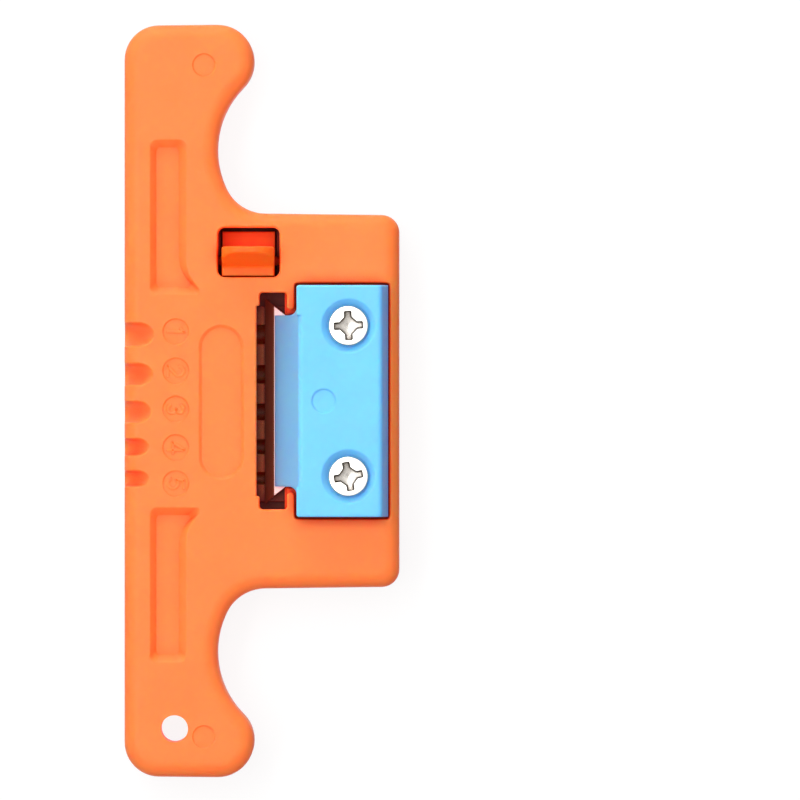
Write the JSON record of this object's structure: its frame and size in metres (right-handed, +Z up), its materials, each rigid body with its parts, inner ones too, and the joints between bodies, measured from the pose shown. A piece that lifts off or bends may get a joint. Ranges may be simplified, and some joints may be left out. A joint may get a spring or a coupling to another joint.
{
  "type": "fibre mid-span access tool",
  "caption": "Flat orange hand tool with hooked handles, a latched hinged jaw with graded tube grooves and a blue blade cassette that shaves open a fibre buffer tube.",
  "frame": {"origin": "middle of the bounding box on the surface that the tool lies on", "axes": "+Y along the tool towards the latch, +X towards the cassette, +Z up out of the top face"},
  "size_m": [0.0474, 0.13, 0.022],
  "materials": {
    "body_orange": "moulded satin",
    "latch_orange": "moulded satin",
    "cassette_blue": "moulded satin",
    "blade_steel": "ground",
    "screw_chrome": "bright plated",
    "steel_pin": "drawn",
    "spring_steel": "drawn wire",
    "insert_brass": "turned"
  },
  "bodies": {
    "body": {"upper_body": "body_orange", "hinge_pin": "steel_pin", "cassette_cover": "cassette_blue", "blade_bed": "cassette_blue", "blade": "blade_steel", "cassette_screw_upper": "screw_chrome", "cassette_screw_lower": "screw_chrome", "thread_insert_upper": "insert_brass", "thread_insert_lower": "insert_brass"},
    "jaw": {"lower_jaw": "body_orange", "latch_pin": "latch_orange", "latch_spring": "spring_steel"},
    "latch": {"latch_lever": "latch_orange"}
  },
  "joints": [
    {"name": "jaw_hinge", "type": "hinge", "parent": "body", "child": "jaw", "pos_m": [0, -0.0269, 0.0039], "axis": [-1, 0, 0], "range_deg": [0, 90]},
    {"name": "latch_release", "type": "hinge", "parent": "jaw", "child": "latch", "pos_m": [-0.00238, 0.0243, 0.0033], "axis": [-1, 0, 0], "range_deg": [0, 8], "stiffness_Nm_per_rad": 0.1, "springref_deg": -5.73, "deforming": ["latch_spring"]}
  ]
}
